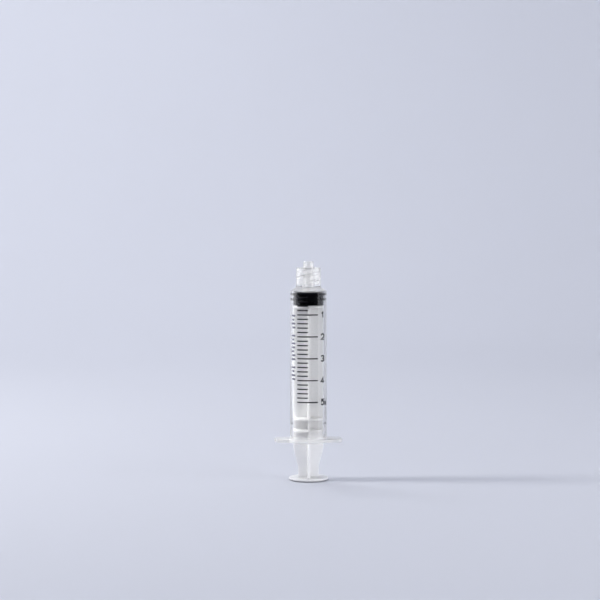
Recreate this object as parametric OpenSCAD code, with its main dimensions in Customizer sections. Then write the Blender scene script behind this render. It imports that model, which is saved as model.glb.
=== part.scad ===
// Three-piece luer-lock syringe, standing on its thumb disc with the plunger pushed home.
// The origin is the centre of the thumb disc's underside. +Z runs up the axis to the nozzle.
// X runs along the finger flange. Sizes are millimetres and angles are degrees.

/* [Barrel] */
// Bore diameter
bore_d = 12.37; // [8:0.01:20]
// Wall thickness
wall = 0.85; // [0.6:0.01:1.5]
// Height of the open mouth over the floor
mouth_z = 14.8; // [10:0.1:25]
// Height of the end of the bore
bore_end_z = 72.25; // [60:0.05:90]
// Height of the retaining bead's middle over the mouth
bead_up = 6.6; // [3:0.1:12]
// Inner diameter of the retaining bead
bead_d = 12.16; // [11.6:0.01:12.3]

/* [Nozzle and lock collar] */
// Height of the nozzle's tip
tip_z = 84.0; // [75:0.1:100]
// Diameter of the nozzle at its tip
tip_d = 3.95; // [3.9:0.01:4.1]
// Diameter of the hole through the nozzle
lumen_d = 2.2; // [1:0.05:2.6]
// Height of the collar's rim
collar_z = 81.7; // [75:0.1:95]
// Height of the floor between the nozzle and the collar
recess_z = 75.1; // [73:0.1:78]
// Outer diameter of the collar at its foot
collar_d = 9.6; // [9:0.05:12]
// Inner diameter of the collar between the threads
thread_root_d = 8.0; // [7.5:0.05:9]
// Inner diameter across the thread crests
thread_crest_d = 7.0; // [6.5:0.05:7.5]
// Rise of one thread in a full turn
thread_lead = 5.0; // [2.5:0.1:6]

/* [Finger flange] */
// Length from wing tip to wing tip
flange_span = 26.2; // [20:0.1:40]
// Diameter of the round middle
flange_hub_d = 17.6; // [15:0.1:25]
// Width of a wing
wing_w = 8.6; // [4:0.1:16]
// Thickness of the flange
flange_t = 1.3; // [0.8:0.1:3]

/* [Plunger rod] */
// Diameter of the thumb disc
thumb_d = 15.2; // [10:0.1:25]
// Thickness of the thumb disc
thumb_t = 1.1; // [0.8:0.1:3]
// Lift of the disc's rim over the pad it stands on
rim_lift = 0.35; // [0.1:0.05:0.5]
// Diameter of the pad under the disc
pad_d = 12.8; // [8:0.1:20]
// Thickness of the four ribs
rib_t = 0.86; // [0.6:0.02:2]
// Reach of the ribs from the axis
rib_r = 5.7; // [3:0.05:8]
// Reach of the ribs at the waist over the thumb disc
waist_r = 3.95; // [2:0.05:6]
// Height where the ribs start to spread
waist_z = 5.7; // [2:0.1:10]
// Height where the ribs reach their full width
spread_z = 11.5; // [8:0.1:14]
// Diameter of the round plates that guide the rod
guide_d = 11.5; // [10:0.05:12]
// Thickness of the guide plates
guide_t = 1.0; // [0.6:0.1:2]

/* [Stopper] */
// Height of the stopper
stopper_h = 5.2; // [3:0.1:10]
// Depth of the upper sealing ring's middle under the stopper's rim
upper_ring_down = 0.95; // [0.8:0.01:1.5]
// Depth of the lower sealing ring's middle under the stopper's rim
lower_ring_down = 2.92; // [2:0.01:4]
// Gap between the sealing rings and the bore
ring_gap = 0.03; // [0.01:0.01:0.1]
// Diameter between the sealing rings
waist_d = 11.6; // [10:0.1:12]
// Gap between the stopper's socket and the rod's head
socket_gap = 0.06; // [0.02:0.01:0.1]

/* [Printing] */
// Marked volume in millilitres
volume_ml = 5; // [1:1:10]
// Minor lines in a millilitre
parts_per_ml = 5; // [2:1:10]
// Height of the zero line
zero_z = 72.1; // [60:0.1:90]
// Thickness of the printed film
film_t = 0.05; // [0.02:0.01:0.1]
// Width of a printed line
line_w = 0.46; // [0.15:0.01:0.6]
// Angle where every line starts
line_start = -39.7; // [-90:0.1:0]
// Angle where a minor line ends
minor_end = -4.6; // [-60:0.1:60]
// Angle where a major line ends
major_end = 27.6; // [-60:0.1:90]
// Height of a numeral
numeral_h = 2.6; // [1.5:0.1:5]
// Angle of the middle of the numerals
numeral_at = 47; // [0:0.5:90]
// Angle of the middle of the row of side marks
side_at = -57.5; // [-90:0.5:0]

/* [Hidden] */
$fn = 96;

bore_r = bore_d / 2;
barrel_r = bore_r + wall;
bead_r = bead_d / 2;
bead_half = 0.25;
bead_ramp = 0.75;
mouth_flare = 0.3;
mouth_flare_h = 0.6;
bead_z = mouth_z + bead_up;
flange_top = mouth_z + flange_t;

// The shoulder cone outside the end of the bore, and the collar above it.
shoulder_z = bore_end_z + 0.2;
collar_foot_z = bore_end_z + 1.9;
collar_r = collar_d / 2;
root_r = thread_root_d / 2;
shoulder_edge = 0.24;
shoulder_edge_h = 0.36;
rim_edge = 0.25;
collar_taper = 0.15;
crest_r = thread_crest_d / 2;
thread_z = recess_z + 1.2;
thread_h = collar_z - 0.3 - thread_z;

// The nozzle is a 6 percent cone: its diameter grows by 6 hundredths of a millimetre in each millimetre.
lumen_r = lumen_d / 2;
tip_r = tip_d / 2;
luer_slope = 0.03;
tip_edge = 0.2;
foot_r = tip_r + luer_slope * (tip_z - recess_z);
lumen_z = recess_z + 0.2;

// The funnel between the end of the bore and the nozzle's hole.
end_fillet = 0.6;
end_fillet_h = 0.25;
funnel_r = 1.9;
funnel_top_r = 1.6;
funnel_h = 0.6;
funnel_throat = 0.8;

wing_r = flange_span / 2;
hub_r = flange_hub_d / 2;
wing_fillet = 2.2;
wing_fillet_y = wing_w / 2 + wing_fillet;
wing_fillet_x = sqrt(pow(hub_r + wing_fillet, 2) - pow(wing_fillet_y, 2));

// The stopper's top stands just under the end of the bore.
stopper_top = bore_end_z + 0.2;
stopper_z = stopper_top - stopper_h;
ring_r = bore_r - ring_gap;
groove_r = waist_d / 2;
ring_half = 0.3;
ring_foot = 0.6;
stopper_edge = 0.3;
stopper_dome = 0.3;
upper_ring_z = stopper_top - upper_ring_down;
lower_ring_z = stopper_top - lower_ring_down;

// The rod's end plate sits under the stopper, and its head fills the stopper's socket.
end_plate_z = stopper_z - 0.1;
guide_r = guide_d / 2;
rib_foot_z = thumb_t / 2;
guide_zs = [bead_z - 2.7, bead_z + 1.7];
neck_r = 2.2;
head_r = 3.4;
head_top_r = 2.2;
neck_top = stopper_z + 1.3;
head_lip = stopper_z + 1.6;
head_lip_h = 0.5;
head_top = stopper_z + 3.6;

// One millilitre of travel in this bore.
ml_h = 1000 / (PI * bore_r * bore_r);
glyph_w = numeral_h * 0.75;
stroke_w = 0.54;
unit_mark_at = numeral_at + 17;
unit_stroke_w = 0.24;
side_groups = [4, 7, 4];
side_top_z = 63.4;
side_pitch = 1.5;
side_space = 1.6;
side_half_angle = 9.5;
side_w = 0.7;

clear_plastic = [0.93, 0.95, 0.96, 0.35];
white_plastic = [0.93, 0.93, 0.94];
black_rubber = [0.03, 0.03, 0.035];
black_ink = [0.05, 0.05, 0.07];
grey_ink = [0.35, 0.34, 0.42];

// ---- Barrel ----

// Everything of the barrel that is solid of revolution, seen as a filled outline.
module barrel_outline() {
  polygon([
    [0, mouth_z],
    [barrel_r, mouth_z],
    [barrel_r, shoulder_z],
    [barrel_r - shoulder_edge, shoulder_z + shoulder_edge_h],
    [collar_r, collar_foot_z],
    [collar_r - collar_taper, collar_z - rim_edge],
    [collar_r - collar_taper - rim_edge, collar_z],
    [root_r + collar_taper, collar_z],
    [root_r, collar_z - rim_edge],
    [root_r, recess_z],
    [foot_r, recess_z],
    [tip_r + luer_slope * tip_edge, tip_z - tip_edge],
    [tip_r - tip_edge, tip_z],
    [0, tip_z]
  ]);
}

// The bore with its flared mouth, retaining bead and funnel up to the nozzle's hole.
module bore_outline() {
  polygon([
    [0, mouth_z - 1],
    [bore_r + mouth_flare, mouth_z - 1],
    [bore_r + mouth_flare, mouth_z],
    [bore_r, mouth_z + mouth_flare_h],
    [bore_r, bead_z - bead_half - bead_ramp],
    [bead_r, bead_z - bead_half],
    [bead_r, bead_z + bead_half],
    [bore_r, bead_z + bead_half + bead_ramp],
    [bore_r, bore_end_z],
    [bore_r - end_fillet, bore_end_z + end_fillet_h],
    [funnel_r, bore_end_z + funnel_h],
    [funnel_top_r, lumen_z - funnel_throat],
    [lumen_r, lumen_z],
    [0, lumen_z]
  ]);
}

// The curved corner where one wing's edge meets the round middle, in the quarter with +X and +Y.
module wing_corner() {
  difference() {
    polygon([
      [0, 0],
      [wing_fillet_x, 0],
      [wing_fillet_x, wing_w / 2],
      [wing_fillet_x * hub_r / (hub_r + wing_fillet), wing_fillet_y * hub_r / (hub_r + wing_fillet)]
    ]);
    translate([wing_fillet_x, wing_fillet_y])
      circle(r = wing_fillet);
  }
}

module flange_outline() {
  circle(r = hub_r);
  intersection() {
    circle(r = wing_r);
    square([flange_span + 1, wing_w], center = true);
  }
  for (mx = [0, 1], my = [0, 1])
    mirror([mx, 0])
      mirror([0, my])
        wing_corner();
}

// Root of the barrel on the flange.
module flange_root() {
  root = 0.6;
  inner_r = barrel_r - 0.3;
  low_z = flange_top - 0.2;
  rotate_extrude()
    polygon([
      [inner_r, low_z],
      [barrel_r + root, low_z],
      [barrel_r + root, flange_top],
      [barrel_r + root * 0.3, flange_top + root * 0.3],
      [barrel_r, flange_top + root],
      [inner_r, flange_top + root]
    ]);
}

// Cross-section of one thread ridge, cut level. Its back is buried in the collar's wall.
module ridge_section() {
  half_back = 34;
  half_crest = 10;
  back_r = root_r + 0.3;
  polygon(concat(
    [for (k = [-3 : 3]) back_r * [cos(k * half_back / 3), sin(k * half_back / 3)]],
    [for (k = [1, -1]) crest_r * [cos(k * half_crest), sin(k * half_crest)]]
  ));
}

// Two right-hand threads, half a turn apart.
module lock_thread() {
  translate([0, 0, thread_z])
    linear_extrude(height = thread_h, twist = -360 * thread_h / thread_lead, slices = 36, $fn = 8)
      for (turn = [0, 180])
        rotate(turn)
          ridge_section();
}

module barrel() {
  color(clear_plastic)
    union() {
      difference() {
        union() {
          rotate_extrude()
            barrel_outline();
          translate([0, 0, mouth_z])
            linear_extrude(height = flange_t)
              flange_outline();
          flange_root();
        }
        rotate_extrude()
          bore_outline();
        translate([0, 0, lumen_z - 0.5])
          cylinder(r = lumen_r, h = tip_z - lumen_z + 2);
      }
      lock_thread();
    }
}

// ---- Stopper ----

module stopper_outline() {
  polygon([
    [0, stopper_z],
    [groove_r - stopper_edge, stopper_z],
    [groove_r, stopper_z + stopper_edge],
    [groove_r, lower_ring_z - ring_foot],
    [ring_r, lower_ring_z - ring_half],
    [ring_r, lower_ring_z + ring_half],
    [groove_r, lower_ring_z + ring_foot],
    [groove_r, upper_ring_z - ring_foot],
    [ring_r, upper_ring_z - ring_half],
    [ring_r, upper_ring_z + ring_half],
    [groove_r, upper_ring_z + ring_foot],
    [groove_r - stopper_edge, stopper_top],
    [0, stopper_top + stopper_dome]
  ]);
}

// Outline of the rod's head, grown by gap.
module head_outline(gap = 0, start_z = 0) {
  polygon([
    [0, start_z],
    [neck_r + gap, start_z],
    [neck_r + gap, neck_top - gap],
    [head_r + gap, head_lip - gap],
    [head_r + gap, head_lip + head_lip_h],
    [head_top_r + gap, head_top + gap],
    [0, head_top + gap]
  ]);
}

module stopper() {
  color(black_rubber)
    rotate_extrude()
      difference() {
        stopper_outline();
        head_outline(gap = socket_gap, start_z = stopper_z - 1);
      }
}

// ---- Plunger rod ----

module rib_pair() {
  top = end_plate_z - guide_t / 2;
  translate([0, rib_t / 2, 0])
    rotate([90, 0, 0])
      linear_extrude(height = rib_t)
        polygon([
          [-waist_r, rib_foot_z],
          [waist_r, rib_foot_z],
          [waist_r, waist_z],
          [rib_r, spread_z],
          [rib_r, top],
          [-rib_r, top],
          [-rib_r, spread_z],
          [-waist_r, waist_z]
        ]);
}

// A round plate on a slightly smaller pad, with a rounded rim.
module thumb_disc() {
  rim_t = thumb_t - rim_lift;
  rim_r = (thumb_d - rim_t) / 2;
  rotate_extrude() {
    square([pad_d / 2, thumb_t]);
    translate([0, rim_lift])
      square([rim_r, rim_t]);
    translate([rim_r, rim_lift + rim_t / 2])
      intersection() {
        circle(d = rim_t);
        translate([-0.1, -rim_t])
          square([rim_t, 2 * rim_t]);
      }
  }
}

module plunger_rod() {
  color(white_plastic) {
    thumb_disc();
    rib_pair();
    rotate([0, 0, 90])
      rib_pair();
    for (z = guide_zs)
      translate([0, 0, z])
        cylinder(r = guide_r, h = guide_t);
    translate([0, 0, end_plate_z - guide_t])
      cylinder(r = guide_r, h = guide_t);
    rotate_extrude()
      head_outline(start_z = end_plate_z - guide_t / 2);
  }
}

// ---- Printing on the barrel ----

// One printed line around part of the barrel.
module ring_line(z, start_at, end_at, w = line_w) {
  translate([0, 0, z - w / 2])
    rotate([0, 0, start_at - 90])
      rotate_extrude(angle = end_at - start_at)
        translate([barrel_r, 0])
          square([film_t, w]);
}

// Lays flat shapes on the barrel, upright and facing out, at an angle and a height.
module printed_at(angle, z) {
  intersection() {
    difference() {
      translate([0, 0, z - numeral_h])
        cylinder(r = barrel_r + film_t, h = 2 * numeral_h);
      translate([0, 0, z - 2 * numeral_h])
        cylinder(r = barrel_r, h = 4 * numeral_h);
    }
    rotate([0, 0, angle])
      translate([0, 0, z])
        rotate([90, 0, 0])
          linear_extrude(height = barrel_r + 1)
            children();
  }
}

module stroke(from, to, w = stroke_w) {
  run = to - from;
  past = 0.3 * w;
  translate(from)
    rotate(atan2(run[1], run[0]))
      translate([-past, -w / 2])
        square([norm(run) + 2 * past, w]);
}

// Part of a ring, from start_at to end_at, less than half a turn on each side of its middle.
module bow(centre, r, start_at, end_at) {
  steps = 6;
  reach = 3 * r;
  translate(centre)
    intersection() {
      difference() {
        circle(r = r + stroke_w / 2);
        circle(r = r - stroke_w / 2);
      }
      polygon(concat(
        [[0, 0]],
        [for (k = [0 : steps])
          let (a = start_at + (end_at - start_at) * k / steps)
          reach * [cos(a), sin(a)]]
      ));
    }
}

module glyph_one() {
  top = numeral_h / 2;
  stem_x = 0.15;
  stroke([stem_x, -top], [stem_x, top - stroke_w / 2]);
  stroke([-0.5, top - 0.8], [stem_x, top - stroke_w / 2]);
}

module glyph_two() {
  top = numeral_h / 2;
  r = glyph_w / 2 - stroke_w / 2;
  bow([0, top - r - stroke_w / 2], r, -25, 170);
  stroke([r * 0.9, top - r * 1.45 - stroke_w / 2], [-r, stroke_w / 2 - top]);
  stroke([-r, stroke_w / 2 - top], [r, stroke_w / 2 - top]);
}

module glyph_three() {
  top = numeral_h / 2;
  r = (numeral_h - stroke_w) / 4;
  bow([0, r], r, -90, 160);
  bow([0, -r], r, -160, 90);
}

module glyph_four() {
  top = numeral_h / 2;
  side = glyph_w / 2;
  stem_x = side * 0.35;
  bar_y = -0.45;
  stroke([stem_x, -top], [stem_x, top - stroke_w / 2]);
  stroke([stem_x, top - stroke_w / 2], [-side, bar_y]);
  stroke([-side, bar_y], [side, bar_y]);
}

module glyph_five() {
  top = numeral_h / 2;
  r = glyph_w / 2 - stroke_w / 2;
  back_x = -r * 0.85;
  stroke([back_x, top - stroke_w / 2], [r, top - stroke_w / 2]);
  stroke([back_x, top - stroke_w / 2], [back_x, 0]);
  bow([0, r + stroke_w / 2 - top], r, -150, 140);
}

module unit_sign() {
  foot = -numeral_h / 2;
  low_top = 0;
  legs = [-0.8, -0.25, 0.3];
  tall_x = 0.85;
  for (x = legs)
    stroke([x, foot], [x, low_top], unit_stroke_w);
  stroke([legs[0], low_top], [legs[2], low_top], unit_stroke_w);
  stroke([tall_x, foot], [tall_x, -foot], unit_stroke_w);
}

module major_graduations() {
  color(black_ink)
    for (ml = [0 : volume_ml])
      ring_line(zero_z - ml * ml_h, line_start, major_end);
}

module minor_graduations() {
  color(black_ink)
    for (ml = [0 : volume_ml - 1], part = [1 : parts_per_ml - 1])
      ring_line(zero_z - (ml + part / parts_per_ml) * ml_h, line_start, minor_end);
}

module numerals() {
  color(black_ink) {
    printed_at(numeral_at, zero_z - ml_h)
      glyph_one();
    printed_at(numeral_at, zero_z - 2 * ml_h)
      glyph_two();
    printed_at(numeral_at, zero_z - 3 * ml_h)
      glyph_three();
    printed_at(numeral_at, zero_z - 4 * ml_h)
      glyph_four();
    printed_at(numeral_at, zero_z - 5 * ml_h)
      glyph_five();
  }
}

module unit_mark() {
  color(black_ink)
    printed_at(unit_mark_at, zero_z - volume_ml * ml_h)
      unit_sign();
}

// How many strokes stand before group g.
function strokes_before(g) = g == 0 ? 0 : side_groups[g - 1] + strokes_before(g - 1);

// Plain strokes in three groups, in place of a line of words.
module side_marks() {
  color(grey_ink)
    for (g = [0 : len(side_groups) - 1], k = [0 : side_groups[g] - 1])
      ring_line(
        side_top_z - (strokes_before(g) + k) * side_pitch - g * side_space,
        side_at - side_half_angle * (k % 2 == 0 ? 1 : 0.6),
        side_at + side_half_angle * (k % 3 == 1 ? 0.5 : 1),
        side_w
      );
}

barrel();
stopper();
plunger_rod();
major_graduations();
minor_graduations();
numerals();
unit_mark();
side_marks();
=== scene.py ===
import math

import bmesh
import bpy
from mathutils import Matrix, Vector, noise


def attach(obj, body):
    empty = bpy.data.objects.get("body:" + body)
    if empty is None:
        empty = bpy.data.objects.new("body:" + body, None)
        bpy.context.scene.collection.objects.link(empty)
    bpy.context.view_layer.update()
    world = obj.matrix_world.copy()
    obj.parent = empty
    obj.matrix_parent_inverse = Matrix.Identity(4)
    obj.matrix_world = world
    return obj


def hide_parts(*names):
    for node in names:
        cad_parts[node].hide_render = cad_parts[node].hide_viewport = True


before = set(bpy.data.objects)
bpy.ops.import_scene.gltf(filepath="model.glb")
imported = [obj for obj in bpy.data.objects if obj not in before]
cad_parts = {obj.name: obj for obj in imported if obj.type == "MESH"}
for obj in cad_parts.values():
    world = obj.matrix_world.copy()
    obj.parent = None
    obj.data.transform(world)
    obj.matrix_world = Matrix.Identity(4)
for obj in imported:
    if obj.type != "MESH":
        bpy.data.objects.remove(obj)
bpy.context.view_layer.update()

# A clear luer-lock syringe standing on its thumb disc, plunger pushed home.
# Shapes are written in millimetres in the CAD frame and scaled to metres when the meshes are made.
MM = 0.001

# ---- Sizes, in millimetres ----
# The main ones are the CAD model's. Small roundings, the squeezed rings and the thin ink are not.

BARREL_R = 7.035
BORE_R = 6.185
MOUTH_Z = 14.8
BORE_END_Z = 72.25
BEAD_R = 6.08
BEAD_Z = 21.4

TIP_Z = 84.0
TIP_R = 1.975
CONE_SLOPE = 0.03
LUMEN_R = 1.1
FUNNEL_LOW_R, FUNNEL_HIGH_R = 1.9, 1.6
COLLAR_Z = 81.7
RECESS_Z = 75.1
COLLAR_R = 4.8
ROOT_R = 4.0
CREST_R = 3.5
THREAD_LEAD = 5.0
THREAD_STARTS = 2
# A ridge's half width at its foot and the width of its flank, as shares of the ridges' spacing.
RIDGE_HALF, RIDGE_FLANK = 0.24, 0.16

FLANGE_T = 1.3
HUB_R = 8.8
WING_R = 13.1
WING_HALF = 4.3
WING_FILLET = 2.2
WING_CORNER = 1.6

# The plastic turns milky over these heights: upwards into the nozzle, and downwards into the flange.
NOZZLE_CLEAR_Z, NOZZLE_MILKY_Z = BORE_END_Z + 0.15, BORE_END_Z + 1.15
FLANGE_CLEAR_Z, FLANGE_MILKY_Z = MOUTH_Z + FLANGE_T + 1.4, MOUTH_Z + FLANGE_T - 0.1
# How milky it gets there, and where it is seen along its skin. 0 is clear.
NOZZLE_MILK, FLANGE_MILK, SKIN_MILK = 0.20, 0.40, 0.65

THUMB_R = 7.6
THUMB_T = 1.1
PAD_R = 6.4
RIM_LIFT = 0.35
DIMPLE_R = 1.2
DIMPLE_DEPTH = 0.25
FOOT_FLARE = 0.35
RIB_HALF = 0.43
RIB_R = 5.7
WAIST_R = 3.95
WAIST_Z = 5.7
SPREAD_Z = 11.5
GUIDE_R = 5.75
GUIDE_T = 1.0
GUIDE_ZS = (BEAD_Z - 2.7, BEAD_Z + 1.7)

STOPPER_TOP = BORE_END_Z + 0.2
STOPPER_H = 5.2
STOPPER_Z = STOPPER_TOP - STOPPER_H
# The rings are squeezed against the bore, so they reach a little into it and no air is left between.
RING_R = BORE_R + 0.04
GROOVE_R = 5.8
UPPER_RING_Z = STOPPER_TOP - 0.95
LOWER_RING_Z = STOPPER_TOP - 2.92
RING_HALF = 0.3
RING_FOOT = 0.6
SKIRT_R = GROOVE_R + 0.05
SOCKET_GAP = 0.06

# The rod's end plate lies under the stopper, and its head fills the stopper's socket.
END_PLATE_Z = STOPPER_Z - 0.1
NECK_R = 2.2
HEAD_R = 3.4
NECK_TOP = STOPPER_Z + 1.3
HEAD_LIP = STOPPER_Z + 1.6
HEAD_EDGE = STOPPER_Z + 2.1
HEAD_TOP = STOPPER_Z + 3.6

ZERO_Z = 72.1
ML_H = 1000 / (math.pi * BORE_R**2)
VOLUME_ML = 5
PARTS_PER_ML = 5
LINE_START, MINOR_END, MAJOR_END = -39.7, -4.6, 27.6
LINE_W = 0.46
NUMERAL_H = 2.6
NUMERAL_AT = 47.0
NUMERAL_W = 0.54
UNIT_AT = NUMERAL_AT + 17
UNIT_W = 0.24
SIDE_AT = -57.5
SIDE_GROUPS = (4, 7, 4)
SIDE_TOP_Z = 63.4
SIDE_PITCH = 1.5
SIDE_SPACE = 1.6
SIDE_HALF_ANGLE = 9.5
SIDE_W = 0.7

# The camera stands in front of the scale, turned a little to the -X side.
VIEW_TURN = 3.0


# ---- Mesh helpers ----


def rounded(corners, steps=5):
    """Points of a closed outline. Each corner is (r, z, radius), and a radius of 0 keeps it sharp."""
    points = []
    count = len(corners)
    for i, (x, y, radius) in enumerate(corners):
        here = Vector((x, y))
        if not radius:
            points.append(here)
            continue
        before = Vector(corners[i - 1][:2]) - here
        after = Vector(corners[(i + 1) % count][:2]) - here
        room = 0.49 * min(before.length, after.length)
        u, v = before.normalized(), after.normalized()
        half = max(0.5 * math.acos(max(-1, min(1, u.dot(v)))), 1e-3)
        run = min(radius / math.tan(half), room)
        radius = run * math.tan(half)
        centre = here + (u + v).normalized() * (radius / math.sin(half))
        start, end = here + u * run - centre, here + v * run - centre
        sweep = start.angle_signed(end)
        for k in range(steps + 1):
            turn = -sweep * k / steps
            c, s = math.cos(turn), math.sin(turn)
            points.append(centre + Vector((start.x * c - start.y * s, start.x * s + start.y * c)))
    return points


def new_object(name, bm, sharp_angle=None):
    bmesh.ops.recalc_face_normals(bm, faces=bm.faces)
    mesh = bpy.data.meshes.new(name)
    bm.to_mesh(mesh)
    bm.free()
    mesh.polygons.foreach_set("use_smooth", [True] * len(mesh.polygons))
    if sharp_angle:
        mesh.set_sharp_from_angle(angle=math.radians(sharp_angle))
    piece = bpy.data.objects.new(name, mesh)
    bpy.context.collection.objects.link(piece)
    return piece


def loft(name, rings):
    """Skins rings of (x, y, z) points in mm, closed loops of the same length, and caps both ends."""
    bm = bmesh.new()
    made = [[bm.verts.new(Vector(p) * MM) for p in ring] for ring in rings]
    count = len(made[0])
    for low, high in zip(made, made[1:]):
        for k in range(count):
            n = (k + 1) % count
            bm.faces.new((low[k], low[n], high[n], high[k]))
    bm.faces.new(made[0][::-1])
    bm.faces.new(made[-1])
    return new_object(name, bm)


def lathe(name, profile_at, angles):
    """Turns a closed profile round Z. profile_at gives the (r, z) points in mm at an angle in degrees.

    A point on the axis becomes one vertex.
    """
    bm = bmesh.new()
    columns = []
    poles = {}
    for angle in angles:
        c, s = math.cos(math.radians(angle)), math.sin(math.radians(angle))
        column = []
        for i, (r, z) in enumerate(profile_at(angle)):
            if r < 1e-6:
                if i not in poles:
                    poles[i] = bm.verts.new((0, 0, z * MM))
                column.append(poles[i])
            else:
                column.append(bm.verts.new((r * c * MM, r * s * MM, z * MM)))
        columns.append(column)
    rows = len(columns[0])
    for k, column in enumerate(columns):
        other = columns[(k + 1) % len(columns)]
        for i in range(rows):
            j = (i + 1) % rows
            corners = []
            for v in (column[i], other[i], other[j], column[j]):
                if v not in corners:
                    corners.append(v)
            if len(corners) > 2:
                bm.faces.new(corners)
    return new_object(name, bm)


def even_angles(count):
    return [360 * k / count for k in range(count)]


def union(name, parts):
    """Joins overlapping closed pieces into one closed mesh."""
    first = parts[0]
    for part in parts[1:]:
        step = first.modifiers.new("union", "BOOLEAN")
        step.operation = "UNION"
        step.solver = "EXACT"
        step.object = part
    graph = bpy.context.evaluated_depsgraph_get()
    mesh = bpy.data.meshes.new_from_object(first.evaluated_get(graph))
    for part in parts:
        bpy.data.objects.remove(part)
    mesh.name = name
    mesh.polygons.foreach_set("use_smooth", [True] * len(mesh.polygons))
    mesh.set_sharp_from_angle(angle=math.radians(35))
    piece = bpy.data.objects.new(name, mesh)
    bpy.context.collection.objects.link(piece)
    return piece


# ---- Materials ----


def new_material(name):
    mat = bpy.data.materials.new(name)
    mat.use_nodes = True
    nodes, links = mat.node_tree.nodes, mat.node_tree.links
    shader = nodes["Principled BSDF"]
    return mat, nodes, links, shader


def noise_at(nodes, links, scale, detail=2.0, stretch=(1, 1, 1)):
    """Noise fixed to the object, with scale in cells per metre. Returns its value socket."""
    place = nodes.new("ShaderNodeTexCoord")
    shape = nodes.new("ShaderNodeMapping")
    shape.inputs["Scale"].default_value = stretch
    texture = nodes.new("ShaderNodeTexNoise")
    texture.inputs["Scale"].default_value = scale
    texture.inputs["Detail"].default_value = detail
    links.new(place.outputs["Object"], shape.inputs["Vector"])
    links.new(shape.outputs["Vector"], texture.inputs["Vector"])
    return texture.outputs["Fac"]


def spread(nodes, links, value, low, high):
    """Maps a value of 0..1 to low..high."""
    reach = nodes.new("ShaderNodeMapRange")
    reach.inputs["To Min"].default_value = low
    reach.inputs["To Max"].default_value = high
    links.new(value, reach.inputs["Value"])
    return reach.outputs["Result"]


def blend_colours(nodes, links, value, first, second):
    ramp = nodes.new("ShaderNodeValToRGB")
    ramp.color_ramp.elements[0].position = 0.35
    ramp.color_ramp.elements[1].position = 0.65
    ramp.color_ramp.elements[0].color = (*first, 1)
    ramp.color_ramp.elements[1].color = (*second, 1)
    links.new(value, ramp.inputs["Fac"])
    return ramp.outputs["Color"]


def bump(nodes, links, shader, height, distance, strength=1.0):
    node = nodes.new("ShaderNodeBump")
    node.inputs["Strength"].default_value = strength
    node.inputs["Distance"].default_value = distance
    links.new(height, node.inputs["Height"])
    links.new(node.outputs["Normal"], shader.inputs["Normal"])


def math_node(nodes, links, operation, first, second):
    node = nodes.new("ShaderNodeMath")
    node.operation = operation
    for k, value in enumerate((first, second)):
        if isinstance(value, (int, float)):
            node.inputs[k].default_value = value
        else:
            links.new(value, node.inputs[k])
    return node.outputs["Value"]


def thick_part(nodes, links, clear_z, milky_z):
    """0 at the first height in the object and 1 past the second, both in millimetres."""
    place = nodes.new("ShaderNodeTexCoord")
    split = nodes.new("ShaderNodeSeparateXYZ")
    links.new(place.outputs["Object"], split.inputs["Vector"])
    reach = nodes.new("ShaderNodeMapRange")
    reach.inputs["From Min"].default_value = clear_z * MM
    reach.inputs["From Max"].default_value = milky_z * MM
    links.new(split.outputs["Z"], reach.inputs["Value"])
    return reach.outputs["Result"]


def clear_plastic():
    """Clear polypropylene with soft flow marks. It is milky where it is thick or seen along its skin."""
    mat, nodes, links, shader = new_material("clear_plastic")
    shader.inputs["Base Color"].default_value = (1.0, 1.0, 1.0, 1)
    shader.inputs["IOR"].default_value = 1.49
    above_bore = thick_part(nodes, links, NOZZLE_CLEAR_Z, NOZZLE_MILKY_Z)
    nozzle_end = spread(nodes, links, above_bore, 0.0, NOZZLE_MILK)
    at_flange = thick_part(nodes, links, FLANGE_CLEAR_Z, FLANGE_MILKY_Z)
    flange = spread(nodes, links, at_flange, 0.0, FLANGE_MILK)
    skin = nodes.new("ShaderNodeLayerWeight")
    skin.inputs["Blend"].default_value = 0.5
    grazing = math_node(nodes, links, "POWER", skin.outputs["Facing"], 3.0)
    along_skin = spread(nodes, links, grazing, 0.0, SKIN_MILK)
    thick = math_node(nodes, links, "MAXIMUM", nozzle_end, flange)
    milk = math_node(nodes, links, "MAXIMUM", thick, along_skin)
    links.new(math_node(nodes, links, "SUBTRACT", 1.0, milk), shader.inputs["Transmission Weight"])
    haze = noise_at(nodes, links, 260, 3.0, (1, 1, 0.25))
    links.new(spread(nodes, links, haze, 0.02, 0.07), shader.inputs["Roughness"])
    flow = noise_at(nodes, links, 120, 2.0, (1, 1, 0.1))
    bump(nodes, links, shader, flow, 0.00002, 0.6)
    # A ray on its way to a lamp goes straight through.
    path = nodes.new("ShaderNodeLightPath")
    through = nodes.new("ShaderNodeBsdfTransparent")
    through.inputs["Color"].default_value = (1.0, 1.0, 1.0, 1)
    mix = nodes.new("ShaderNodeMixShader")
    links.new(path.outputs["Is Shadow Ray"], mix.inputs["Fac"])
    links.new(shader.outputs["BSDF"], mix.inputs[1])
    links.new(through.outputs["BSDF"], mix.inputs[2])
    links.new(mix.outputs["Shader"], nodes["Material Output"].inputs["Surface"])
    return mat


def white_plastic():
    """Natural white polypropylene: milky, light shines into its thin ribs."""
    mat, nodes, links, shader = new_material("white_plastic")
    cloud = noise_at(nodes, links, 90, 3.0)
    tint = blend_colours(nodes, links, cloud, (0.875, 0.872, 0.875), (0.90, 0.898, 0.90))
    links.new(tint, shader.inputs["Base Color"])
    shader.inputs["IOR"].default_value = 1.49
    shader.inputs["Subsurface Weight"].default_value = 1.0
    shader.inputs["Subsurface Radius"].default_value = (1.0, 1.0, 1.0)
    shader.inputs["Subsurface Scale"].default_value = 1.8 * MM
    fine = noise_at(nodes, links, 900, 4.0)
    links.new(spread(nodes, links, fine, 0.28, 0.42), shader.inputs["Roughness"])
    bump(nodes, links, shader, fine, 0.00001, 0.5)
    return mat


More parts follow.
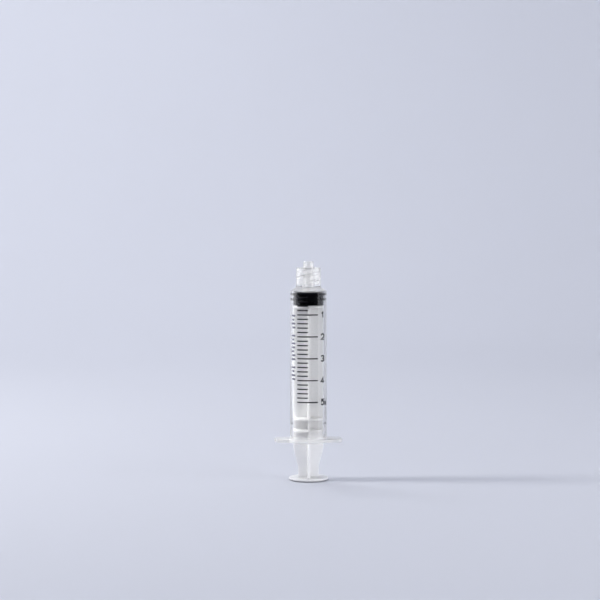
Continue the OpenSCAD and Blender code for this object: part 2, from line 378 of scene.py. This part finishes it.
def black_rubber():
    """Moulded rubber with a film of silicone oil."""
    mat, nodes, links, shader = new_material("black_rubber")
    cloud = noise_at(nodes, links, 400, 3.0)
    tint = blend_colours(nodes, links, cloud, (0.0025, 0.0025, 0.0035), (0.005, 0.005, 0.007))
    links.new(tint, shader.inputs["Base Color"])
    links.new(spread(nodes, links, cloud, 0.10, 0.18), shader.inputs["Roughness"])
    bump(nodes, links, shader, noise_at(nodes, links, 2500, 4.0), 0.00001, 0.5)
    return mat


def ink(name, dark, light):
    """Printed ink, with a slightly uneven film."""
    mat, nodes, links, shader = new_material(name)
    patchy = noise_at(nodes, links, 1600, 3.0)
    links.new(blend_colours(nodes, links, patchy, dark, light), shader.inputs["Base Color"])
    links.new(spread(nodes, links, patchy, 0.45, 0.65), shader.inputs["Roughness"])
    return mat


def backdrop_material(name, mirrored):
    """Pale paper. When it isn't mirrored, rays that have bounced off something shiny find it black."""
    mat, nodes, links, shader = new_material(name)
    cloud = noise_at(nodes, links, 3, 2.0)
    tint = blend_colours(nodes, links, cloud, (0.617, 0.633, 0.692), (0.623, 0.639, 0.698))
    links.new(tint, shader.inputs["Base Color"])
    shader.inputs["Roughness"].default_value = 0.75
    shader.inputs["Specular IOR Level"].default_value = 0.1
    if not mirrored:
        path = nodes.new("ShaderNodeLightPath")
        black = nodes.new("ShaderNodeBsdfDiffuse")
        black.inputs["Color"].default_value = (0, 0, 0, 1)
        mix = nodes.new("ShaderNodeMixShader")
        bounced = math_node(nodes, links, "GREATER_THAN", path.outputs["Glossy Depth"], 0.5)
        links.new(bounced, mix.inputs["Fac"])
        links.new(shader.outputs["BSDF"], mix.inputs[1])
        links.new(black.outputs["BSDF"], mix.inputs[2])
        links.new(mix.outputs["Shader"], nodes["Material Output"].inputs["Surface"])
    return mat


# ---- Barrel ----


def wing_reach(angle):
    """How far the flange's edge is from the axis at an angle from +X: a round middle with two wings."""
    a = math.radians(angle)
    x, y = abs(math.cos(a)), abs(math.sin(a))
    reach = HUB_R
    # The straight side of a wing, then its tip, a circle about the axis.
    tip = min(WING_R, WING_HALF / max(y, 1e-6))
    # The rounded corner between the two.
    corner_y = WING_HALF - WING_CORNER
    corner_x = math.sqrt((WING_R - WING_CORNER) ** 2 - corner_y**2)
    if math.atan2(corner_y, corner_x) < math.atan2(y, x) < math.atan2(WING_HALF, corner_x):
        along = corner_x * x + corner_y * y
        gap = corner_x**2 + corner_y**2 - WING_CORNER**2
        tip = along + math.sqrt(max(along**2 - gap, 0))
    # The fillet that carries the wing's side into the round middle.
    fillet_y = WING_HALF + WING_FILLET
    fillet_x = math.sqrt((HUB_R + WING_FILLET) ** 2 - fillet_y**2)
    if math.atan2(WING_HALF, fillet_x) < math.atan2(y, x) < math.atan2(fillet_y, fillet_x):
        along = fillet_x * x + fillet_y * y
        gap = fillet_x**2 + fillet_y**2 - WING_FILLET**2
        reach = max(reach, along - math.sqrt(max(along**2 - gap, 0)))
        return reach
    if math.atan2(y, x) <= math.atan2(WING_HALF, fillet_x):
        reach = max(reach, tip)
    return reach


def thread_wall(angle):
    """The collar's inner wall from its floor to its rim, with the two thread ridges on it."""
    rows = 64
    low, high = RECESS_Z + 0.35, COLLAR_Z - 0.3
    first, last = RECESS_Z + 1.2, COLLAR_Z - 0.3
    points = []
    for k in range(rows + 1):
        z = low + (high - low) * k / rows
        turn = z / THREAD_LEAD - angle / 360
        from_ridge = abs((turn * THREAD_STARTS + 0.5) % 1 - 0.5)
        lift = min(1, max(0, (RIDGE_HALF - from_ridge) / RIDGE_FLANK))
        lift = lift * lift * (3 - 2 * lift)
        fade = min(1, max(0, (z - first) / 0.5)) * min(1, max(0, (last - z) / 0.3))
        points.append((ROOT_R - (ROOT_R - CREST_R) * lift * fade, z, 0))
    return points


def barrel_profile(angle):
    edge = wing_reach(angle)
    flange_top = MOUTH_Z + FLANGE_T
    foot_r = TIP_R + CONE_SLOPE * (TIP_Z - RECESS_Z)
    corners = [
        (LUMEN_R, TIP_Z, 0.15),
        (TIP_R, TIP_Z, 0.25),
        (foot_r, RECESS_Z, 0.3),
        (ROOT_R, RECESS_Z, 0.3),
        *thread_wall(angle),
        (ROOT_R + 0.05, COLLAR_Z, 0.12),
        (COLLAR_R - 0.15, COLLAR_Z, 0.35),
        (COLLAR_R, BORE_END_Z + 1.9, 0.5),
        (BARREL_R, BORE_END_Z + 0.3, 0.7),
        (BARREL_R, flange_top, 0.5),
        (edge, flange_top, 0.35),
        (edge, MOUTH_Z, 0.35),
        (BORE_R + 0.3, MOUTH_Z, 0.12),
        (BORE_R, MOUTH_Z + 0.6, 0.3),
        (BORE_R, BEAD_Z - 1.0, 2.0),
        (BEAD_R, BEAD_Z - 0.25, 1.2),
        (BEAD_R, BEAD_Z + 0.25, 1.2),
        (BORE_R, BEAD_Z + 1.0, 2.0),
        (BORE_R, BORE_END_Z, 0.3),
        (BORE_R - 0.6, BORE_END_Z + 0.25, 0.4),
        (FUNNEL_LOW_R, BORE_END_Z + 0.6, 0.4),
        (FUNNEL_HIGH_R, RECESS_Z - 0.6, 0.3),
        (LUMEN_R, RECESS_Z + 0.2, 0.3),
    ]
    return rounded(corners)


def barrel_angles():
    """Turns round the axis, close together where the flange's edge runs steeply."""
    turns = []
    angle = 0.0
    while angle < 360 - 1e-6:
        turns.append(angle)
        from_wing = abs((angle + 90) % 180 - 90)
        angle += 0.5 if 12 <= from_wing < 42 else 1.5
    return turns


def make_barrel():
    piece = lathe("barrel_shell", barrel_profile, barrel_angles())
    piece.data.materials.append(clear_plastic())
    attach(piece, "barrel")
    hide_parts("barrel")


# ---- Stopper ----


def make_stopper():
    gap = SOCKET_GAP
    corners = [
        (NECK_R + gap, STOPPER_Z, 0.1),
        (SKIRT_R, STOPPER_Z, 0.25),
        (SKIRT_R, LOWER_RING_Z - 0.55, 0.15),
        (RING_R, LOWER_RING_Z - RING_HALF, 0.12),
        (RING_R, LOWER_RING_Z + RING_HALF, 0.12),
        (GROOVE_R, LOWER_RING_Z + RING_FOOT, 0.15),
        (GROOVE_R, UPPER_RING_Z - RING_FOOT, 0.15),
        (RING_R, UPPER_RING_Z - RING_HALF, 0.12),
        (RING_R, UPPER_RING_Z + RING_HALF, 0.12),
        (SKIRT_R, UPPER_RING_Z + 0.62, 0.1),
        (GROOVE_R - 0.3, STOPPER_TOP, 0.3),
        (0, STOPPER_TOP + 0.3, 0),
        (0, HEAD_TOP + gap, 0),
        (NECK_R + gap, HEAD_TOP + gap, 0.1),
        (HEAD_R + gap, HEAD_EDGE, 0.1),
        (HEAD_R + gap, HEAD_LIP - gap, 0.1),
        (NECK_R + gap, NECK_TOP - gap, 0.1),
    ]
    outline = rounded(corners)
    piece = lathe("stopper_rubber", lambda angle: outline, even_angles(160))
    piece.data.materials.append(black_rubber())
    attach(piece, "stopper")
    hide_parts("stopper")


# ---- Plunger rod ----


def rib_section(reach, half):
    """The rod's cross-shaped section: rounded rib tips, and fillets where the ribs meet."""
    fillet = 0.35
    corners = []
    for k in range(4):
        c, s = math.cos(k * math.pi / 2), math.sin(k * math.pi / 2)
        for x, y, radius in (
            (reach, -half, 0.16),
            (reach, half, 0.16),
            (half, half, fillet),
        ):
            corners.append((x * c - y * s, x * s + y * c, radius))
    return rounded(corners, 4)


def rib_levels():
    """(height, reach, half thickness) up the rod: ribs with flared feet, a waist and a slope above it."""
    top = END_PLATE_Z - 0.5
    levels = [(THUMB_T * 0.6, WAIST_R + FOOT_FLARE, RIB_HALF + FOOT_FLARE)]
    for k in range(6):
        turn = math.radians(90 * k / 5)
        flare = FOOT_FLARE * (1 - math.sin(turn))
        height = THUMB_T + FOOT_FLARE * (1 - math.cos(turn))
        levels.append((height, WAIST_R + flare, RIB_HALF + flare))
    # The slope from the waist to the full width runs a little past both ends, with softened corners.
    past = 0.6
    for k in range(13):
        along = k / 12
        eased = along * along * (3 - 2 * along)
        share = 0.35 * eased + 0.65 * along
        height = WAIST_Z - past + (SPREAD_Z - WAIST_Z + 2 * past) * along
        levels.append((height, WAIST_R + (RIB_R - WAIST_R) * share, RIB_HALF))
    levels.append((top, RIB_R, RIB_HALF))
    return levels


def guide_plate(name, z):
    corners = [
        (0, z, 0),
        (GUIDE_R, z, 0.25),
        (GUIDE_R, z + GUIDE_T, 0.25),
        (0, z + GUIDE_T, 0),
    ]
    outline = rounded(corners)
    return lathe(name, lambda angle: outline, even_angles(128))


def make_plunger_rod():
    column = loft(
        "rod_column",
        [[(p.x, p.y, z) for p in rib_section(reach, half)] for z, reach, half in rib_levels()],
    )
    thumb = rounded(
        [
            (0, DIMPLE_DEPTH, 0),
            (DIMPLE_R, DIMPLE_DEPTH, 0.2),
            (DIMPLE_R + 0.3, 0, 0.2),
            (PAD_R, 0, 0.1),
            (PAD_R, RIM_LIFT, 0.1),
            (THUMB_R, RIM_LIFT, 0.3),
            (THUMB_R, THUMB_T, 0.5),
            (THUMB_R - 0.9, THUMB_T, 0.2),
            (0, THUMB_T - 0.1, 0),
        ],
        8,
    )
    thumb_disc = lathe("rod_thumb", lambda angle: thumb, even_angles(160))
    plates = [guide_plate(f"rod_guide_{k}", z) for k, z in enumerate(GUIDE_ZS)]
    head = rounded(
        [
            (0, END_PLATE_Z - GUIDE_T, 0),
            (GUIDE_R, END_PLATE_Z - GUIDE_T, 0.25),
            (GUIDE_R, END_PLATE_Z, 0.25),
            (NECK_R, END_PLATE_Z, 0.1),
            (NECK_R, NECK_TOP, 0.1),
            (HEAD_R, HEAD_LIP, 0.15),
            (HEAD_R, HEAD_EDGE, 0.15),
            (NECK_R, HEAD_TOP, 0.2),
            (0, HEAD_TOP, 0),
        ]
    )
    head_piece = lathe("rod_head", lambda angle: head, even_angles(128))
    piece = union("plunger_rod_body", [column, thumb_disc, head_piece, *plates])
    piece.data.materials.append(white_plastic())
    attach(piece, "plunger_rod")
    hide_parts("plunger_rod")


# ---- Printing ----

FILM_LOW = BARREL_R + 0.003
FILM_HIGH = BARREL_R + 0.035


def wrapped(u, z, angle, r):
    """A point u mm to the right of an angle, at height z, on a cylinder of radius r. Angle 0 faces -Y."""
    a = math.radians(angle) + u / BARREL_R
    return Vector((r * math.sin(a), -r * math.cos(a), z)) * MM


def add_film(bm, left, right, angle, middle_z):
    """One closed strip of ink between two edges, each a list of (u, v) in mm."""
    rings = []
    for (lu, lv), (ru, rv) in zip(left, right):
        rings.append(
            [
                bm.verts.new(wrapped(lu, middle_z + lv, angle, FILM_LOW)),
                bm.verts.new(wrapped(ru, middle_z + rv, angle, FILM_LOW)),
                bm.verts.new(wrapped(ru, middle_z + rv, angle, FILM_HIGH)),
                bm.verts.new(wrapped(lu, middle_z + lv, angle, FILM_HIGH)),
            ]
        )
    for a, b in zip(rings, rings[1:]):
        for k in range(4):
            n = (k + 1) % 4
            bm.faces.new((a[k], a[n], b[n], b[k]))
    bm.faces.new(rings[0][::-1])
    bm.faces.new(rings[-1])


def add_stroke(bm, path, angle, middle_z, width):
    """A pen stroke along a path of (u, v) points, with square ends."""
    points = [Vector(p) for p in path]
    left, right = [], []
    for i, p in enumerate(points):
        before = (p - points[i - 1]).normalized() if i else None
        after = (points[i + 1] - p).normalized() if i + 1 < len(points) else None
        ways = [w for w in (before, after) if w is not None]
        way = sum(ways, Vector((0, 0))).normalized()
        lean = max(way.dot(ways[0]), 0.5)
        side = Vector((-way.y, way.x)) * (width / 2 / lean)
        left.append(p + side)
        right.append(p - side)
    add_film(bm, left, right, angle, middle_z)


def add_line(bm, z, start_at, end_at, width=LINE_W):
    """A printed line round part of the barrel."""
    steps = max(2, round((end_at - start_at) / 1.5))
    turns = [math.radians(start_at + (end_at - start_at) * k / steps) * BARREL_R for k in range(steps + 1)]
    add_film(bm, [(u, width / 2) for u in turns], [(u, -width / 2) for u in turns], 0, z)


def bow(centre, rx, ry, start_at, end_at):
    """Points along part of an ellipse, between two angles in degrees."""
    steps = 12
    turns = [math.radians(start_at + (end_at - start_at) * k / steps) for k in range(steps + 1)]
    return [(centre[0] + rx * math.cos(t), centre[1] + ry * math.sin(t)) for t in turns]


def numeral_paths():
    """The centre lines of the numerals 1 to 5, in mm about each numeral's middle."""
    top = NUMERAL_H / 2 - NUMERAL_W / 2
    side = 0.78
    one = [[(-0.5, top - 0.6), (0.15, top), (0.15, -top)]]
    two = [[*bow((0, top - side), side, side, 165, -30), (-side, -top), (side + 0.1, -top)]]
    ring = top / 2
    three = [[*bow((-0.05, ring), side, ring, 150, -75), *bow((-0.05, -ring), side + 0.05, ring, 75, -150)]]
    four = [[(0.3, -top), (0.3, top), (-0.8, -0.45), (0.85, -0.45)]]
    belly = 0.75
    bowl = bow((-0.05, belly - top), side + 0.05, belly, 125, -145)
    five = [[(side, top), (-0.5, top), (-0.6, 0.1), *bowl]]
    return [one, two, three, four, five]


def finish_print(name, bm, node, mat):
    piece = new_object(name, bm, 30)
    piece.data.materials.append(mat)
    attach(piece, "barrel")
    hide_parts(node)


def make_printing():
    black = ink("black_ink", (0.003, 0.003, 0.006), (0.008, 0.008, 0.013))
    grey = ink("grey_ink", (0.150, 0.145, 0.200), (0.200, 0.195, 0.255))

    bm = bmesh.new()
    for ml in range(VOLUME_ML + 1):
        add_line(bm, ZERO_Z - ml * ML_H, LINE_START, MAJOR_END)
    finish_print("print_major_lines", bm, "major_graduations", black)

    bm = bmesh.new()
    for part in range(1, VOLUME_ML * PARTS_PER_ML):
        if part % PARTS_PER_ML:
            add_line(bm, ZERO_Z - part / PARTS_PER_ML * ML_H, LINE_START, MINOR_END)
    finish_print("print_minor_lines", bm, "minor_graduations", black)

    bm = bmesh.new()
    for k, paths in enumerate(numeral_paths()):
        for path in paths:
            add_stroke(bm, path, NUMERAL_AT, ZERO_Z - (k + 1) * ML_H, NUMERAL_W)
    finish_print("print_numerals", bm, "numerals", black)

    bm = bmesh.new()
    # The unit, ml, in pen strokes.
    foot, shoulder = -NUMERAL_H / 2, 0.05
    unit_z = ZERO_Z - VOLUME_ML * ML_H
    for path in (
        [(-0.75, foot), (-0.75, shoulder - 0.15), (-0.6, shoulder), (-0.3, shoulder), (-0.3, foot)],
        [(-0.3, shoulder), (0.0, shoulder), (0.15, shoulder - 0.15), (0.15, foot)],
        [(0.65, foot), (0.65, -foot)],
    ):
        add_stroke(bm, path, UNIT_AT, unit_z, UNIT_W)
    finish_print("print_unit_mark", bm, "unit_mark", black)

    bm = bmesh.new()
    z = SIDE_TOP_Z
    for group in SIDE_GROUPS:
        for k in range(group):
            add_line(
                bm,
                z,
                SIDE_AT - SIDE_HALF_ANGLE * (1 if k % 2 == 0 else 0.6),
                SIDE_AT + SIDE_HALF_ANGLE * (0.5 if k % 3 == 1 else 1),
                SIDE_W,
            )
            z -= SIDE_PITCH
        z -= SIDE_SPACE
    finish_print("print_side_marks", bm, "side_marks", grey)


# ---- Stage, camera and lights ----

STAGE_R = 1.35
COVE_R = 0.75
STAGE_H = 1.3


def facing(turn):
    """A level direction: 0 points at the camera, and positive turns go to the picture's right."""
    a = math.radians(turn - VIEW_TURN)
    return Vector((math.sin(a), -math.cos(a), 0))


def stage_profile():
    """(r, z) in metres: out over the floor, up a cove and a wall, and back over as a ceiling."""
    floor = [(STAGE_R - COVE_R) * k / 8 for k in range(1, 9)]
    points = [(r, 0.0) for r in floor]
    for k in range(1, 17):
        t = math.radians(90 * k / 16)
        points.append((STAGE_R - COVE_R + COVE_R * math.sin(t), COVE_R - COVE_R * math.cos(t)))
    points.append((STAGE_R, STAGE_H))
    points.append((0.02, STAGE_H + 0.05))
    return points


def make_stage():
    """A round floor that sweeps up into a wall and a ceiling. Its front part is black to mirrored rays."""
    profile = stage_profile()
    for name, first, last, mirrored in (("stage_back", 70, 290, True), ("stage_front", -70, 70, False)):
        bm = bmesh.new()
        count = (last - first) // 5
        columns = []
        for k in range(count + 1):
            way = facing(first + 5 * k)
            columns.append([bm.verts.new(way * r + Vector((0, 0, z))) for r, z in profile])
        middle = bm.verts.new((0, 0, 0))
        for a, b in zip(columns, columns[1:]):
            bm.faces.new((middle, a[0], b[0]))
            for i in range(len(profile) - 1):
                bm.faces.new((a[i], a[i + 1], b[i + 1], b[i]))
        piece = new_object(name, bm)
        piece.data.materials.append(backdrop_material(name, mirrored))


def soft_light(name, turn, distance, height, size, power, colour, aim_z, aim_at=(0, 0)):
    """A rectangular lamp, aimed at a height above the point (turn, distance) seen from the middle."""
    data = bpy.data.lights.new(name, "AREA")
    data.shape = "RECTANGLE"
    data.size, data.size_y = size
    data.energy = power
    data.color = colour
    lamp = bpy.data.objects.new(name, data)
    lamp.location = facing(turn) * distance + Vector((0, 0, height))
    aim = facing(aim_at[0]) * aim_at[1] + Vector((0, 0, aim_z)) - lamp.location
    lamp.rotation_mode = "QUATERNION"
    lamp.rotation_quaternion = aim.to_track_quat("-Z", "Y")
    lamp.visible_camera = False
    lamp.visible_transmission = False
    bpy.context.collection.objects.link(lamp)
    return lamp


def make_lights():
    """A key lamp and a broad panel at the left, a narrow strip at the right, and unmirrored washes."""
    soft_light("key", -89, 0.58, 0.44, (0.13, 0.26), 2.6, (1.0, 0.995, 0.985), 0.03)
    panel = soft_light("panel", -106, 0.60, 0.17, (0.50, 0.40), 1.4, (1.0, 1.0, 1.0), 0.06)
    # The panel shows as a highlight and adds no light to matt surfaces.
    panel.visible_diffuse = False
    soft_light("strip", 66, 0.45, 0.16, (0.09, 0.40), 0.12, (1.0, 1.0, 1.0), 0.05)
    washes = (
        soft_light("top", 180, 0.10, 1.20, (1.2, 1.2), 3.8, (1.0, 1.0, 1.0), 0.0),
        soft_light("back_wash", -140, 0.75, 1.10, (0.7, 0.3), 6.4, (1.0, 1.0, 1.0), 0.30, (-168, 1.3)),
        soft_light("fill", 63, 0.75, 0.13, (0.60, 0.26), 3.2, (1.0, 1.0, 1.0), 0.05),
    )
    for lamp in washes:
        lamp.visible_glossy = False
    world = bpy.data.worlds.new("studio")
    world.use_nodes = True
    sky = world.node_tree.nodes["Background"]
    sky.inputs["Color"].default_value = (0.80, 0.83, 0.95, 1)
    sky.inputs["Strength"].default_value = 0.05
    world.cycles_visibility.glossy = False
    bpy.context.scene.world = world


def make_camera():
    distance, height = 0.575, 0.092
    aim_side, aim_z = -0.00322, 0.0692
    data = bpy.data.cameras.new("camera")
    data.sensor_width = 36
    data.lens = 90.1
    camera = bpy.data.objects.new("camera", data)
    camera.location = facing(0) * distance + Vector((0, 0, height))
    aim = facing(90) * aim_side + Vector((0, 0, aim_z)) - camera.location
    camera.rotation_mode = "QUATERNION"
    camera.rotation_quaternion = aim.to_track_quat("-Z", "Y")
    data.clip_start, data.clip_end = 0.01, 10
    bpy.context.collection.objects.link(camera)
    bpy.context.scene.camera = camera


make_camera()
make_barrel()
make_stopper()
make_plunger_rod()
make_printing()
make_stage()
make_lights()
bpy.context.scene.view_settings.view_transform = "Standard"
